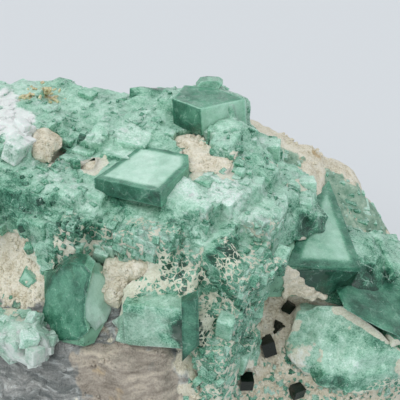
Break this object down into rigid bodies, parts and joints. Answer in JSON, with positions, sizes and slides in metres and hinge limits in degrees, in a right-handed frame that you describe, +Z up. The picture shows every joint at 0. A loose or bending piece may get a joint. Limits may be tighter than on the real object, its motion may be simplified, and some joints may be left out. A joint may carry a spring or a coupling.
{
  "type": "fluorite specimen",
  "caption": "Hand specimen of green fluorite: intergrown cube crystals covering the front and top of a lump of cream rock, cut flat underneath to rest.",
  "frame": {"origin": "under the middle of the specimen's bounding box, on the plane of its flat foot", "axes": "+Z up, +X along the specimen's length to its thin right end, and the crystal-covered front faces -Y"},
  "size_m": [0.1744, 0.1202, 0.0898],
  "materials": {
    "rock": "rough, cream to grey",
    "crust": "frosted pale tops and glassy dark green edges",
    "clear_crystal": "glassy dark green",
    "pale_fluorite": "waxy pale green broken faces",
    "small_cubes": "glossy near-black green"
  },
  "bodies": {
    "root": {"matrix_rock": "rock", "fluorite_crust": "crust", "tall_dark_crystal": "clear_crystal", "corner_crystal": "clear_crystal", "pale_wedge": "pale_fluorite", "lower_left_lump": "pale_fluorite", "small_cube_1": "small_cubes", "small_cube_2": "small_cubes", "small_cube_3": "small_cubes", "small_cube_4": "small_cubes", "small_cube_5": "small_cubes", "small_cube_6": "small_cubes"}
  },
  "joints": []
}
